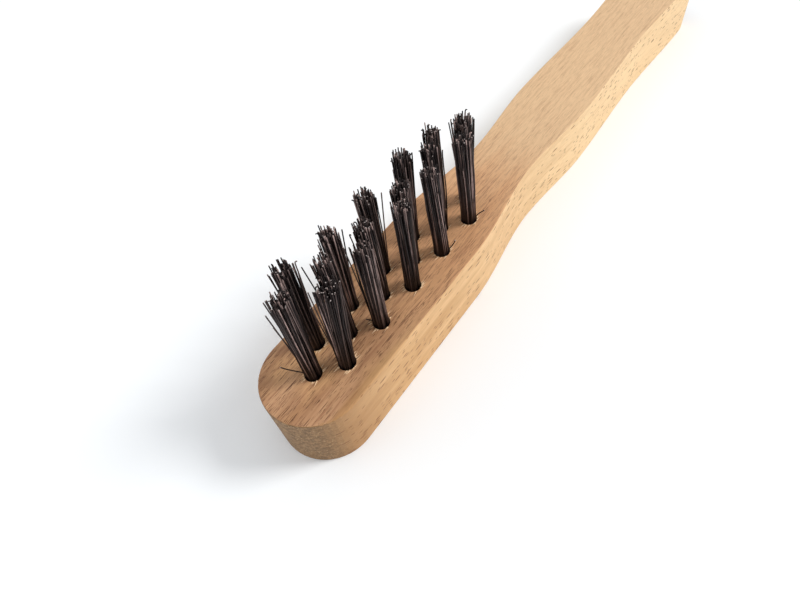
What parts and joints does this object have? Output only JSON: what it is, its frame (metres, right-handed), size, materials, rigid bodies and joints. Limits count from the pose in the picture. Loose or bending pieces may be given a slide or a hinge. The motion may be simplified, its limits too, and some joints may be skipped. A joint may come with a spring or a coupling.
{
  "type": "wire brush",
  "caption": "Hand wire brush: flat waisted beech handle with a round toe, staggered rows of straight steel wire tufts on the head and a hanging hole in the far end.",
  "frame": {"origin": "centre of the flat back of the handle, on the surface that the brush lies on", "axes": "+X along the handle from the toe to the hanging end, +Y across the handle to the left row of tufts, +Z from the back to the wire tips"},
  "size_m": [0.212, 0.0234, 0.0442],
  "materials": {
    "beech": "sanded, unvarnished",
    "wire": "dark drawn wire, cut bright at the tips",
    "staple": "flat strip"
  },
  "bodies": {
    "root": {"handle": "beech", "tuft_left_1": "wire", "tuft_left_2": "wire", "tuft_left_3": "wire", "tuft_left_4": "wire", "tuft_left_5": "wire", "tuft_middle_1": "wire", "tuft_middle_2": "wire", "tuft_middle_3": "wire", "tuft_middle_4": "wire", "tuft_middle_5": "wire", "tuft_middle_6": "wire", "tuft_right_1": "wire", "tuft_right_2": "wire", "tuft_right_3": "wire", "tuft_right_4": "wire", "tuft_right_5": "wire", "staple_left_1": "staple", "staple_left_2": "staple", "staple_left_3": "staple", "staple_left_4": "staple", "staple_left_5": "staple", "staple_middle_1": "staple", "staple_middle_2": "staple", "staple_middle_3": "staple", "staple_middle_4": "staple", "staple_middle_5": "staple", "staple_middle_6": "staple", "staple_right_1": "staple", "staple_right_2": "staple", "staple_right_3": "staple", "staple_right_4": "staple", "staple_right_5": "staple"}
  },
  "joints": []
}
